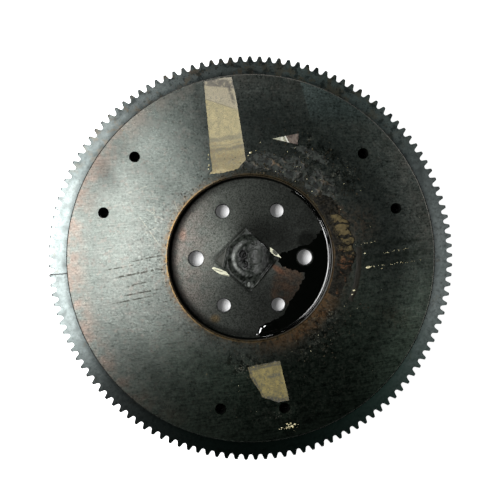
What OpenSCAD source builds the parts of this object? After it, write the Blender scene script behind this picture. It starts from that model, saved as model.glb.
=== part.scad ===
// Clutch flywheel with a shrunk-on starter ring gear and a pressed-in pilot ball bearing.
// Millimetres. The spin axis is Z. z = 0 is the rear (engine side) face of the rim, on which the
// flywheel lies; the clutch side faces +Z.

/* [Ring gear] */
// Number of starter teeth
teeth = 129; // [100:1:150]
// Teeth per inch of pitch diameter, which sets the tooth spacing
tooth_pitch = 10; // [9.8:0.1:10.1]
// Teeth per inch of pitch diameter that the stub tooth height is taken from
stub_pitch = 12; // [11:1:14]
// Share of the pitch that a tooth fills at the pitch circle
tooth_share = 0.45; // [0.4:0.01:0.5]
// Face width of the ring gear
gear_width = 11; // [8:0.5:13]
// Step from the friction face down to the front of the ring gear
gear_step = 2; // [1:0.25:4]
// Radius of the shrink-fit seat between the body and the ring gear
seat_r = 151; // [148:0.5:154]
// Height of the bevel on the ends of the teeth
tooth_bevel = 0.8; // [0.5:0.1:1.5]

/* [Body] */
// Overall height from the rear of the rim to the friction face
body_h = 32; // [30:0.5:38]
// Thickness of the web that bolts to the crankshaft
web_t = 12.5; // [10:0.5:14]
// Depth of the crankshaft flange seat behind the rear of the rim
flange_depth = 6; // [5:0.5:8]
// Radius of the recess in the clutch side
recess_r = 67.5; // [60:0.5:72]
// Inner radius of the rear rim
rear_rim_r = 114; // [108:1:118]
// Radius of the crankshaft flange seat
flange_seat_r = 60; // [56:1:64]
// Depth of the relief cast around the crankshaft flange seat
relief_depth = 2.5; // [1:0.5:4]

/* [Holes] */
// Diameter of the crankshaft bolt circle
crank_pcd = 90.5; // [86:0.5:94]
// Radius of the four plain crankshaft bolt holes
crank_hole_r = 5.7; // [5:0.1:6]
// Radius of the two reamed holes for fitted crankshaft bolts
fitted_hole_r = 6.35; // [6:0.05:7]
// Diameter of the clutch cover bolt circle
cover_pcd = 252; // [246:1:256]
// Half of the angle between the two cover bolts of a pair, in degrees
cover_pair_half = 12; // [8:1:16]
// Radius of the tapped cover bolt holes
cover_hole_r = 4; // [3.3:0.1:4.5]
// Depth of the tapped cover bolt holes, without the drill point
cover_hole_depth = 22; // [16:1:24]

/* [Pilot bearing] */
// Inner ring bore radius
bearing_bore_r = 6; // [5.5:0.25:6]
// Outer ring radius
bearing_outer_r = 16; // [15.9:0.05:16.5]
// Bearing width
bearing_w = 10; // [9.8:0.1:10.5]
// How far the bearing stands above the web
bearing_proud = 2.3; // [1.5:0.1:3]
// Number of balls
balls = 7; // [5:1:7]
// Ball radius
ball_r = 2.976; // [2.8:0.001:3]
// Radius of the circle through the ball centres
ball_circle_r = 11; // [10.9:0.05:11.1]

/* [Dowel] */
// Radius of the crankshaft dowel
dowel_r = 3.175; // [2.5:0.005:3.5]
// Distance of the dowel from the spin axis
dowel_offset = 22; // [21:0.5:26]

/* [Sheet and tape] */
// Thickness of the sheet stuck over the pilot bearing
sheet_t = 0.6; // [0.3:0.1:1]
// Thickness of the masking tape left on the friction face
tape_t = 0.3; // [0.1:0.05:0.5]

/* [Hidden] */
$fn = 96;
inch = 25.4;
cut = 0.01;

// Body: heights from the rear of the rim, and the sizes of its edges
web_rear_z = flange_depth;
web_front_z = web_rear_z + web_t;
relief_z = web_rear_z + relief_depth;
recess_chamfer = 1;
recess_fillet = 2;
edge_chamfer = 0.8;
cast_fillet = 3;
mouth_chamfer = 0.5;
shoulder_r = seat_r + 3.5;
gear_top_z = body_h - gear_step;
gear_rear_z = gear_top_z - gear_width;

// Height of a drill point for each millimetre of its radius
drill_tip = 0.6;

// Balance drillings in the rear of the rim: angle and depth of each
balance_drills = [[52, 9], [64, 9], [76, 6]];
balance_drill_r = 5.5;
balance_circle_r = 138;

// Ring gear radii and profile
pitch_r = teeth / tooth_pitch * inch / 2;
tip_r = pitch_r + inch / stub_pitch;
root_r = pitch_r - 1.25 * inch / stub_pitch;
pressure_angle = 20;
base_r = pitch_r * cos(pressure_angle);
fillet_top_r = root_r + 1.1;
tip_corner = 0.3;
flank_steps = 2;
fillet_steps = 2;

// Pilot bearing: heights are from the middle of its width
bearing_z = web_front_z + bearing_proud - bearing_w / 2;
bearing_shoulder_r = 12.5;
groove_play = 0.03;
groove_r = ball_r * 1.04;
inner_shoulder_r = ball_circle_r - 1.9;
outer_shoulder_r = ball_circle_r + 2.1;
cage_half_t = 1.1;
cage_inner_r = ball_circle_r - cage_half_t;
cage_outer_r = ball_circle_r + cage_half_t;
cage_rear_z = -3.75;
cage_front_z = 1.4;
pocket_play = 0.06;
seal_seat_depth = 0.6;
seal_r = outer_shoulder_r + seal_seat_depth;
seal_near_z = 3.95;
seal_t = 0.75;
seal_lip_play = 0.15;

// Dowel: it ends inside the rear of the rim, stands a little above the web, and has a neck where
// its slip-fit end begins
dowel_rear_z = 1;
dowel_front_z = web_front_z + 1.4;
dowel_lead = 0.5;
dowel_slip = 0.025;
dowel_neck_w = 0.5;
dowel_neck_depth = 0.3;

// Cover sheet: its four corners, and the dome and blister that it makes over what it covers
sheet_corners = [[-30, -1.5], [-3.5, 25], [22, -1], [0.5, -27.5]];
sheet_z = web_front_z + 0.1;
sheet_air = 0.35;
dome_r = bearing_outer_r + 0.8;
dome_h = web_front_z + bearing_proud + sheet_air - sheet_z;
blister_r = dowel_r + 0.5;
blister_h = dowel_front_z + sheet_air - sheet_z;

// Tape remains, as outlines seen from the clutch side
tape_left = [[-32, -6.5], [-29.5, -5], [-23.5, -8.5], [-17.5, -13.5], [-17.5, -14.5], [-25, -12.5]];
tape_right = [[16.5, 8], [18, 8.5], [25.5, 0.5], [22.5, 0.2], [16.5, 5.2]];
tape_long = [[-37.5, 147], [-13, 152], [-10, 133], [-6.5, 109], [-4, 92.5], [-2.5, 80.5], [-9, 73],
             [-32.5, 69], [-30, 72], [-31.5, 84.5], [-32.5, 101.5], [-35.5, 139]];
tape_short = [[-3.5, -89.5], [23, -84.5], [26.5, -100.5], [30.2, -117], [26.5, -117.5],
              [21.5, -119], [8, -114], [6.5, -110], [-1.5, -97.5]];
tape_scrap = [[19.5, 97.5], [41, 101.5], [40, 92.5]];

// ---------------------------------------------------------------- flywheel body

// Fills a square inside corner with a fillet. sx and sy, each 1 or -1, point away from the metal.
module corner_fillet(at, r, sx, sy) {
    translate(at)
        difference() {
            translate([min(0, sx * r), min(0, sy * r)]) square(r);
            translate([sx * r, sy * r]) circle(r = r);
        }
}

// Half section of the turned body, as radius and height
module body_section() {
    polygon([
        [0, web_rear_z],
        [flange_seat_r, web_rear_z],
        [flange_seat_r + relief_depth, relief_z],
        [rear_rim_r, relief_z],
        [rear_rim_r, edge_chamfer],
        [rear_rim_r + edge_chamfer, 0],
        [shoulder_r - edge_chamfer, 0],
        [shoulder_r, edge_chamfer],
        [shoulder_r, gear_rear_z],
        [seat_r, gear_rear_z],
        [seat_r, body_h - edge_chamfer],
        [seat_r - edge_chamfer, body_h],
        [recess_r + recess_chamfer, body_h],
        [recess_r, body_h - recess_chamfer],
        [recess_r, web_front_z],
        [0, web_front_z]
    ]);
    corner_fillet([recess_r, web_front_z], recess_fillet, -1, 1);
    corner_fillet([rear_rim_r, relief_z], cast_fillet, -1, -1);
}

// A hole from below up to a height, with a chamfered mouth at that height
module chamfered_hole(r, from_z, mouth_z) {
    translate([0, 0, from_z]) cylinder(h = mouth_z + cut - from_z, r = r);
    translate([0, 0, mouth_z - mouth_chamfer])
        cylinder(h = 2 * mouth_chamfer, r1 = r, r2 = r + 2 * mouth_chamfer);
}

module crank_bolt_holes() {
    for (i = [0:5])
        rotate([0, 0, 60 * i])
            translate([crank_pcd / 2, 0, 0])
                chamfered_hole(i % 3 == 0 ? fitted_hole_r : crank_hole_r, 0, web_front_z);
}

module drill_point(r) cylinder(h = r * drill_tip, r1 = 0, r2 = r);

module cover_bolt_holes() {
    bottom = body_h - cover_hole_depth;
    for (pair = [30, 150, 270], side = [-1, 1])
        rotate([0, 0, pair + side * cover_pair_half])
            translate([cover_pcd / 2, 0, 0]) {
                chamfered_hole(cover_hole_r, bottom, body_h);
                translate([0, 0, bottom - cover_hole_r * drill_tip]) drill_point(cover_hole_r);
            }
}

module balance_drillings() {
    for (drill = balance_drills)
        rotate([0, 0, drill[0]])
            translate([balance_circle_r, 0, 0]) {
                translate([0, 0, -1]) cylinder(h = drill[1] + 1, r = balance_drill_r);
                translate([0, 0, drill[1] + balance_drill_r * drill_tip])
                    mirror([0, 0, 1]) drill_point(balance_drill_r);
            }
}

module flywheel_body() {
    color([0.10, 0.11, 0.10])
        difference() {
            rotate_extrude() body_section();
            chamfered_hole(bearing_outer_r, bearing_z - bearing_w / 2, web_front_z);
            cylinder(h = body_h, r = bearing_shoulder_r);
            translate([0, -dowel_offset, 0]) cylinder(h = body_h, r = dowel_r);
            crank_bolt_holes();
            cover_bolt_holes();
            balance_drillings();
        }
}

// ---------------------------------------------------------------- ring gear

function involute_turn(r) = let (a = acos(base_r / r)) tan(a) * 180 / PI - a;
// Half of the angle that a tooth fills at radius r
function tooth_half(r) = 180 / teeth * tooth_share + involute_turn(pitch_r) - involute_turn(r);
function polar(r, a) = [r * cos(a), r * sin(a)];
function bezier(a, b, c, t) = (1 - t) * (1 - t) * a + 2 * t * (1 - t) * b + t * t * c;

// One side of the tooth centred on angle 0, from the middle of the gap up to the tip
function tooth_side() =
    let (
        bottom = polar(root_r, -180 / teeth),
        corner = polar(root_r, -tooth_half(root_r)),
        foot = polar(fillet_top_r, -tooth_half(fillet_top_r)),
        top_r = tip_r - tip_corner,
        top_a = tooth_half(tip_r) - tip_corner / tip_r * 180 / PI
    )
    concat(
        [for (i = [0:fillet_steps - 1]) bezier(bottom, corner, foot, i / fillet_steps)],
        [for (i = [0:flank_steps])
            let (r = fillet_top_r + (top_r - fillet_top_r) * i / flank_steps)
                polar(r, -tooth_half(r))],
        [polar(tip_r, -top_a)]
    );

function mirrored(points) = [for (i = [len(points) - 1:-1:1]) [points[i][0], -points[i][1]]];
function turned(points, a) =
    [for (p = points) [p[0] * cos(a) - p[1] * sin(a), p[0] * sin(a) + p[1] * cos(a)]];

function gear_outline() =
    let (tooth = concat(tooth_side(), mirrored(tooth_side())))
        [for (i = [0:teeth - 1]) each turned(tooth, 360 / teeth * i)];

// Turned blank whose outer edges bevel the ends of the teeth
module gear_blank() {
    full_r = tip_r + 1;
    bevel_r = tip_r - tooth_bevel;
    bevel_h = full_r - bevel_r;
    rotate_extrude()
        polygon([
            [seat_r, 0],
            [bevel_r, 0],
            [full_r, bevel_h],
            [full_r, gear_width - bevel_h],
            [bevel_r, gear_width],
            [seat_r, gear_width]
        ]);
}

module ring_gear() {
    color([0.33, 0.35, 0.36])
        translate([0, 0, gear_rear_z])
            intersection() {
                linear_extrude(gear_width) polygon(gear_outline());
                gear_blank();
            }
}

// ---------------------------------------------------------------- dowel

module crank_dowel() {
    free_r = dowel_r - dowel_slip;
    color([0.45, 0.45, 0.43])
        translate([0, -dowel_offset, 0])
            rotate_extrude()
                polygon([
                    [0, dowel_rear_z],
                    [free_r - dowel_lead, dowel_rear_z],
                    [free_r, dowel_rear_z + dowel_lead],
                    [free_r, web_rear_z - dowel_neck_w],
                    [free_r - dowel_neck_depth, web_rear_z - dowel_neck_w],
                    [free_r - dowel_neck_depth, web_rear_z],
                    [dowel_r, web_rear_z],
                    [dowel_r, dowel_front_z - dowel_lead],
                    [dowel_r - dowel_lead, dowel_front_z],
                    [0, dowel_front_z]
                ]);
}

// ---------------------------------------------------------------- pilot bearing

module at_bearing() translate([0, 0, bearing_z]) children();

// A bearing ring between its fitted radius, which has chamfered edges, and its shoulder radius
module ring_blank(fitted_r, shoulder_r) {
    half = bearing_w / 2;
    chamfered_r = fitted_r + mouth_chamfer * (fitted_r > shoulder_r ? -1 : 1);
    rotate_extrude()
        polygon([
            [shoulder_r, -half],
            [chamfered_r, -half],
            [fitted_r, -half + mouth_chamfer],
            [fitted_r, half - mouth_chamfer],
            [chamfered_r, half],
            [shoulder_r, half]
        ]);
}

module ball_groove(centre_r) rotate_extrude() translate([centre_r, 0]) circle(r = groove_r);

module pilot_bearing_outer_ring() {
    color([0.62, 0.63, 0.64])
        at_bearing()
            difference() {
                ring_blank(bearing_outer_r, outer_shoulder_r);
                ball_groove(ball_circle_r + ball_r + groove_play - groove_r);
                at_seals() cylinder(h = seal_t, r = seal_r);
            }
}

module pilot_bearing_inner_ring() {
    color([0.66, 0.67, 0.68])
        at_bearing()
            difference() {
                ring_blank(bearing_bore_r, inner_shoulder_r);
                ball_groove(ball_circle_r - ball_r - groove_play + groove_r);
            }
}

module at_balls()
    for (i = [0:balls - 1])
        rotate([0, 0, 360 / balls * i]) translate([ball_circle_r, 0, 0]) children();

module pilot_bearing_balls() {
    color([0.75, 0.76, 0.78]) at_bearing() at_balls() sphere(r = ball_r);
}

module pilot_bearing_cage() {
    color([0.32, 0.28, 0.20])
        at_bearing()
            difference() {
                translate([0, 0, cage_rear_z])
                    cylinder(h = cage_front_z - cage_rear_z, r = cage_outer_r);
                translate([0, 0, cage_rear_z - 1])
                    cylinder(h = cage_front_z - cage_rear_z + 2, r = cage_inner_r);
                at_balls() sphere(r = ball_r + pocket_play);
            }
}

// Places both seals, each seal's outer face being away from the balls
module at_seals()
    for (side = [0, 1]) mirror([0, 0, side]) translate([0, 0, seal_near_z]) children();

// A rubber seal held in the outer ring, its lip just clear of the inner ring
module seal() {
    color([0.12, 0.10, 0.09])
        difference() {
            cylinder(h = seal_t, r = seal_r);
            translate([0, 0, -1]) cylinder(h = seal_t + 2, r = inner_shoulder_r + seal_lip_play);
        }
}

module pilot_bearing_front_seal() at_bearing() translate([0, 0, seal_near_z]) seal();
module pilot_bearing_rear_seal()
    at_bearing() translate([0, 0, -seal_near_z - seal_t]) seal();

// ---------------------------------------------------------------- cover sheet and tape

// The sheet lies on the web, rises over the bearing as a low dome and over the dowel as a blister
module bore_cover_sheet() {
    color([0.20, 0.21, 0.19])
        translate([0, 0, sheet_z])
            difference() {
                union() {
                    linear_extrude(sheet_t) polygon(sheet_corners);
                    cylinder(h = dome_h + sheet_t, r = dome_r + sheet_t);
                    translate([0, -dowel_offset, 0])
                        cylinder(h = blister_h + sheet_t, r = blister_r + sheet_t);
                }
                translate([0, 0, -1]) cylinder(h = dome_h + 1, r = dome_r);
                translate([0, -dowel_offset, -1]) cylinder(h = blister_h + 1, r = blister_r);
            }
}

// Masking tape whose ends show beside the cover sheet
module cover_tape(outline) {
    color([0.80, 0.78, 0.62])
        translate([0, 0, sheet_z])
            linear_extrude(tape_t)
                difference() {
                    polygon(outline);
                    polygon(sheet_corners);
                    circle(r = dome_r + sheet_t);
                }
}

// Masking tape stuck on the friction face, cut off where the face ends
module face_tape(outline) {
    color([0.62, 0.54, 0.33])
        translate([0, 0, body_h])
            linear_extrude(tape_t)
                intersection() {
                    polygon(outline);
                    circle(r = seat_r - edge_chamfer);
                }
}

module cover_tape_left() cover_tape(tape_left);
module cover_tape_right() cover_tape(tape_right);
module face_tape_long() face_tape(tape_long);
module face_tape_short() face_tape(tape_short);
module face_tape_scrap() face_tape(tape_scrap);

flywheel_body();
ring_gear();
crank_dowel();
pilot_bearing_outer_ring();
pilot_bearing_inner_ring();
pilot_bearing_cage();
pilot_bearing_balls();
pilot_bearing_front_seal();
pilot_bearing_rear_seal();
bore_cover_sheet();
cover_tape_left();
cover_tape_right();
face_tape_long();
face_tape_short();
face_tape_scrap();
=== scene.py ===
"""An old-stock clutch flywheel, seen from the clutch side, on a white studio floor.

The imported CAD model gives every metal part. This script makes the soft and loose things that lie on
it (the dark sheet over the pilot bearing, masking tape, grease, oil and crumbs of dried wax), and
every material. Lengths are in millimetres up to the point where a mesh is built. Only the lights and
the floor are placed in metres.
"""

import math
import random

import bpy
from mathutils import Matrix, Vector, geometry, noise


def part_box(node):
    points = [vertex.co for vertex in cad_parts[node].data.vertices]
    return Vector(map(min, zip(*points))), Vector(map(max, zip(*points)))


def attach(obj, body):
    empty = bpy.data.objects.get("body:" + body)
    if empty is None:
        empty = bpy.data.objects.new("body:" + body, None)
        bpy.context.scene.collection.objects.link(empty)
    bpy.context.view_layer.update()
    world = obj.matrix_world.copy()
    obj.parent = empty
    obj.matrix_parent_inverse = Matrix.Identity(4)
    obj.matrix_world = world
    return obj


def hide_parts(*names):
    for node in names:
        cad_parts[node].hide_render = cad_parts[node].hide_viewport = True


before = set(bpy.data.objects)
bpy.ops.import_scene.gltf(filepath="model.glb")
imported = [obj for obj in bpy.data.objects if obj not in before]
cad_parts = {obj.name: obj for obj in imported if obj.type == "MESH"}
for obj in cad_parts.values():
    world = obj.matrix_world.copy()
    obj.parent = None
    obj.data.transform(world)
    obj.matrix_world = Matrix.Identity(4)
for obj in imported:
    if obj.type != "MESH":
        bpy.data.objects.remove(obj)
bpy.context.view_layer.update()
MM = 0.001


def direction(degrees):
    """Cosine and sine of an angle in degrees."""
    return math.cos(math.radians(degrees)), math.sin(math.radians(degrees))


# ------------------------------------------------------------------ places, from the CAD model


def node_box(node):
    """Lowest and highest corners of a CAD node, in millimetres."""
    return [[c / MM for c in corner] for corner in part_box(node)]


body_box = node_box("flywheel_body")
gear_box = node_box("ring_gear")
bearing_box = node_box("pilot_bearing_outer_ring")
sheet_box = node_box("bore_cover_sheet")
dowel_box = node_box("crank_dowel")

FACE_Z = body_box[1][2]
TIP_R = gear_box[1][0]
BEARING_R = bearing_box[1][0]
BEARING_Z = bearing_box[1][2]
DOWEL = ((dowel_box[0][0] + dowel_box[1][0]) / 2, (dowel_box[0][1] + dowel_box[1][1]) / 2)
DOWEL_R = (dowel_box[1][0] - dowel_box[0][0]) / 2
DOWEL_Z = dowel_box[1][2]
SHEET_GAP = 0.1
WEB_Z = sheet_box[0][2] - SHEET_GAP

# radii of the recess and of the friction face, and the crease across the left corner of the sheet
RECESS_R = 67.5
EDGE_R = 151.0
CREASE_PLACE = (-20.5, 4)
CREASE_ANGLE = 168

# heights between which the bare rear ends, the recess begins and its wall begins
REAR_END = (11, 14)
RECESS_FOOT = (12, 15)
WALL_FOOT = 22


# ------------------------------------------------------------------ camera, light and floor

KEY_PLACE = (-0.36, 0.07, 0.88)
KEY_SIZE = (0.52, 0.44)
KEY_POWER = 12.2
FILL_PLACE = (0.34, 0.46, 0.8)
FILL_SIZE = (0.5, 0.5)
FILL_POWER = 0.6
FILL_COLOUR = (0.82, 1.0, 0.95)
WORLD_COLOUR = (0.55, 1.0, 0.70, 1)
WORLD_STRENGTH = 0.012
FLOOR_HALF = 20.0
GLOW_RADII = (98, 118)

# shares of the painted colours that are kept: of all, of the iron and of the gear
COLOUR_SHARE = 0.74
FACE_TONE = 0.62
GEAR_TONE = 0.70

FACE_ROUGH = 0.28
FACE_BRUSH = 0.5
GEAR_ROUGH = 0.30
GEAR_BRUSH = 0.9

CAMERA_HEIGHT = 950.0
FRAME_WIDTH = 409.7
FRAME_OFFSET = (-0.2, 6.6)
ROLL = 0.85
SENSOR = 36.0


def add_camera():
    data = bpy.data.cameras.new("camera")
    data.sensor_width = SENSOR
    data.lens = SENSOR * CAMERA_HEIGHT / FRAME_WIDTH
    camera = bpy.data.objects.new("camera", data)
    camera.location = (FRAME_OFFSET[0] * MM, FRAME_OFFSET[1] * MM, (FACE_Z + CAMERA_HEIGHT) * MM)
    camera.rotation_euler = (0, 0, math.radians(-ROLL))
    bpy.context.scene.collection.objects.link(camera)
    bpy.context.scene.camera = camera


def add_area_light(name, place, size, power, colour=(1, 1, 1)):
    data = bpy.data.lights.new(name, "AREA")
    data.color = colour
    data.shape = "ELLIPSE"
    data.size, data.size_y = size
    data.energy = power
    light = bpy.data.objects.new(name, data)
    light.location = place
    light.rotation_euler = (-Vector(place)).to_track_quat("-Z", "Y").to_euler()
    bpy.context.scene.collection.objects.link(light)


def add_world():
    world = bpy.data.worlds.new("studio")
    world.use_nodes = True
    background = world.node_tree.nodes["Background"]
    background.inputs["Color"].default_value = WORLD_COLOUR
    background.inputs["Strength"].default_value = WORLD_STRENGTH
    bpy.context.scene.world = world


# ------------------------------------------------------------------ material graphs


class Value:
    """A number or a colour that the nodes of a graph work out, for sums and products."""

    def __init__(self, graph, socket):
        self.graph = graph
        self.socket = socket

    def __add__(self, other):
        return self.graph.math("ADD", self, other)

    def __sub__(self, other):
        return self.graph.math("SUBTRACT", self, other)

    def __rsub__(self, other):
        return self.graph.math("SUBTRACT", other, self)

    def __mul__(self, other):
        return self.graph.math("MULTIPLY", self, other)

    __radd__ = __add__
    __rmul__ = __mul__


class Graph:
    """A node material written as arithmetic. x, y and z are millimetres in the part's own frame.

    colour is the running colour, which stain and tone change step by step.
    """

    def __init__(self, name, colour_share=COLOUR_SHARE):
        self.colour = (0, 0, 0)
        self.colour_share = colour_share
        self.material = bpy.data.materials.new(name)
        self.material.use_nodes = True
        self.tree = self.material.node_tree
        self.tree.nodes.clear()
        self.shader = self.tree.nodes.new("ShaderNodeBsdfPrincipled")
        output = self.tree.nodes.new("ShaderNodeOutputMaterial")
        self.tree.links.new(self.shader.outputs["BSDF"], output.inputs["Surface"])
        self.mm = self.scale(self.value("TexCoord", {}, "Object"), 1 / MM)
        self.x, self.y, self.z = (self.value("SeparateXYZ", {0: self.mm}, axis) for axis in "XYZ")
        self.r = self.math("SQRT", self.x * self.x + self.y * self.y)
        safe_r = self.math("MAXIMUM", self.r, 0.001)
        self.cos = self.math("DIVIDE", self.x, safe_r)
        self.sin = self.math("DIVIDE", self.y, safe_r)

    def value(self, kind, inputs, output=0, **settings):
        """Adds a node, sets it up, fills its inputs and gives one of its outputs."""
        node = self.tree.nodes.new("ShaderNode" + kind)
        for name, setting in settings.items():
            setattr(node, name, setting)
        for key, value in inputs.items():
            self.put(value, node.inputs[key])
        return Value(self, node.outputs[output])

    def put(self, value, socket):
        """Links a value to a socket, or sets a number or a colour on it."""
        if isinstance(value, Value):
            self.tree.links.new(value.socket, socket)
        elif isinstance(value, (tuple, list)) and len(value) == 3 and len(socket.default_value) == 4:
            socket.default_value = (*value, 1)
        else:
            socket.default_value = value

    def math(self, operation, a, b=0.0):
        return self.value("Math", {0: a, 1: b}, operation=operation)

    def step(self, low, high, value):
        """0 below low and 1 above high, smooth between; low may be above high."""
        start, end, at_start, at_end = (low, high, 0, 1) if low < high else (high, low, 1, 0)
        inputs = {"Value": value, "From Min": start, "From Max": end}
        inputs.update({"To Min": at_start, "To Max": at_end})
        return self.value("MapRange", inputs, interpolation_type="SMOOTHSTEP")

    def band(self, low, high, soft, value):
        """1 between low and high and 0 outside them."""
        return self.step(low - soft, low + soft, value) * self.step(high + soft, high - soft, value)

    def vector(self, x, y, z):
        return self.value("CombineXYZ", {0: x, 1: y, 2: z})

    def noise(self, size, detail=4, rough=0.55, vector=None):
        """Noise from 0 to 1 whose blobs are about size millimetres across."""
        inputs = {"Vector": vector or self.mm, "Scale": 1 / size, "Detail": detail, "Roughness": rough}
        return self.value("TexNoise", inputs, "Fac")

    def blots(self, low, high, size, detail=4, rough=0.55):
        """Blots: 0 where a noise is below low and 1 where it is above high, or the reverse."""
        return self.step(low, high, self.noise(size, detail, rough))

    def axes(self, x, y, angle, sizes):
        """x and y along axes turned by an angle in degrees, each counted in its own size."""
        c, s = direction(angle)
        return x * (c / sizes[0]) + y * (s / sizes[0]), x * (-s / sizes[1]) + y * (c / sizes[1])

    def lines(self, angle, width, length, detail=3):
        """Streaks along a direction in degrees, about width by length millimetres."""
        along, across = self.axes(self.x, self.y, angle, (length, width))
        return self.noise(1, detail, 0.6, self.vector(along, across, 0.0))

    def turning(self, pitch, arc, detail=3):
        """Tool marks round the axis: about pitch millimetres apart, broken up round the turn."""
        vector = self.vector(self.cos * arc, self.sin * arc, self.r * (1 / pitch))
        return self.noise(1, detail, 0.6, vector)

    def toward(self, angle, half_width, soft):
        """A mask round the axis, centred on an angle in degrees."""
        c, s = direction(angle)
        facing = self.cos * c + self.sin * s
        low, _ = direction(min(half_width + soft, 179))
        high, _ = direction(max(half_width - soft, 0))
        return self.step(low, high, facing)

    def spot(self, centre, radii, soft=0.5, angle=0.0):
        """A mask of 1 inside an ellipse that fades to 0 over the outer share soft of its radius."""
        u, v = self.axes(self.x - centre[0], self.y - centre[1], angle, radii)
        distance = self.math("SQRT", u * u + v * v)
        return self.step(1.0, 1.0 - soft, distance)

    def beyond(self, point, angle, soft):
        """A mask of 1 on the side of a line through a point that the angle in degrees points to."""
        c, s = direction(angle)
        distance = (self.x - point[0]) * c + (self.y - point[1]) * s
        return self.step(-soft, soft, distance)

    def along(self, start, end, width, soft=0.5):
        """A mask of 1 in a strip from start to end; soft is in millimetres."""
        length = math.dist(start, end)
        c, s = (end[0] - start[0]) / length, (end[1] - start[1]) / length
        dx, dy = self.x - start[0], self.y - start[1]
        forward = dx * c + dy * s
        across = self.math("ABSOLUTE", dx * -s + dy * c)
        ends = self.band(0, length, length * 0.12, forward)
        return ends * self.step(width / 2 + soft, width / 2 - soft / 2, across)

    def any_of(self, masks):
        """The highest of some masks."""
        result = masks[0]
        for mask in masks[1:]:
            result = self.math("MAXIMUM", result, mask)
        return result

    def mix(self, share, a, b):
        """Colour a where share is 0 and colour b where it is 1."""
        return self.value("Mix", {"Factor": share, 6: a, 7: b}, 2, data_type="RGBA")

    def blend(self, share, a, b):
        """Number a where share is 0 and number b where it is 1."""
        return self.value("Mix", {"Factor": share, 2: a, 3: b}, 0, data_type="FLOAT")

    def scale(self, colour, factor):
        return self.value("VectorMath", {0: colour, "Scale": factor}, operation="SCALE")

    def bump(self, height, depth, strength):
        """Bump of a height from 0 to 1 that stands depth millimetres proud."""
        return self.value("Bump", {"Strength": strength, "Distance": depth * MM, "Height": height})

    def stain(self, share, colour):
        """Lays a colour over the running one, by a share or a mask."""
        self.colour = self.mix(share, self.colour, colour)

    def tone(self, factor):
        """Makes the running colour lighter or darker."""
        self.colour = self.scale(self.colour, factor)

    def finish(self, **inputs):
        """Joins the running colour and the other inputs to the shader and gives the material."""
        if self.colour_share < 1:
            self.tone(self.colour_share)
        self.put(self.colour, self.shader.inputs["Base Color"])
        for name, value in inputs.items():
            self.put(value, self.shader.inputs[name.replace("_", " ")])
        return self.material

    def brush_round_axis(self, amount):
        """Turned finish: the highlight spreads along the radius."""
        tangent = self.value("Tangent", {}, direction_type="RADIAL", axis="Z")
        self.put(tangent, self.shader.inputs["Tangent"])
        self.shader.inputs["Anisotropic"].default_value = amount
        self.shader.inputs["Anisotropic Rotation"].default_value = 0.25


# ------------------------------------------------------------------ materials


def floor_white():
    """White studio floor. It glows a little, but not where the flywheel lies on it."""
    g = Graph("floor_white", colour_share=1)
    glow = 0.08 + g.step(*GLOW_RADII, g.r) * 0.92
    normal = g.bump(g.noise(3), 0.02, 0.2)
    g.colour = (0.95, 0.95, 0.95)
    return g.finish(Roughness=0.9, Emission_Color=(1, 1, 1), Emission_Strength=glow, Normal=normal)


# strips on the friction face: start, end and width
DARK_STREAKS = [
    ((-111, -14.5), (-68.5, -6.8), 1.2), ((-97, -1.5), (-73, 3.5), 0.8), ((-101, -22), (-84, -18), 1.1),
    ((-104, -29.5), (-76, -24.5), 0.9), ((-114, -36), (-82, -30), 0.8), ((-118, -8), (-96, -4.5), 0.7),
]
OILY_BANDS = [((88, 8), (138, 13), 3.5), ((90, -2), (144, 3.5), 4.0), ((88, -8), (134, -3.5), 2.5)]
PALE_SCRATCHES = [
    ((-91, 36), (-74, 11), 0.35), ((-62, 49), (-58.5, 38), 0.4), ((-79, 44), (-77, 30), 0.35),
    ((-86, 22), (-76, 26), 0.3), ((-99, 55), (-84, 60), 0.3), ((-84, 41), (-70, 32), 0.25),
]

# spots: centre, radii, soft share of the radii and turn in degrees; the rusty ones with a share, the
# stains of the recess floor with a share and a colour
GREASY_SPOTS = [
    ((56, -62), (36, 20), 0.6, 45), ((62, 78), (50, 18), 0.6, -42), ((12, -131), (18, 6), 0.6, 10),
    ((-10, -86), (24, 12), 0.7, 0),
]
RUSTY_SPOTS = [
    (((61, 50), (14, 8), 0.8, -40), 1), (((72, 36), (13, 9), 0.8, -55), 1),
    (((57, -49), (20, 7), 0.8, 48), 1), (((38, -63), (16, 6), 0.8, 28), 1),
    (((92, 26), (20, 26), 0.9, 15), 0.55), (((116, -50), (26, 14), 0.9, -20), 0.35),
]
FLOOR_STAINS = [
    ((23, -10), (9, 3.5), 0.8, -38, 0.7, (0.26, 0.125, 0.075)),
    ((-30, -50), (6, 5), 0.8, 0, 0.6, (0.17, 0.115, 0.05)),
    ((-56, 20), (5, 8), 0.9, 0, 0.7, (0.17, 0.105, 0.08)),
]


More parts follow.
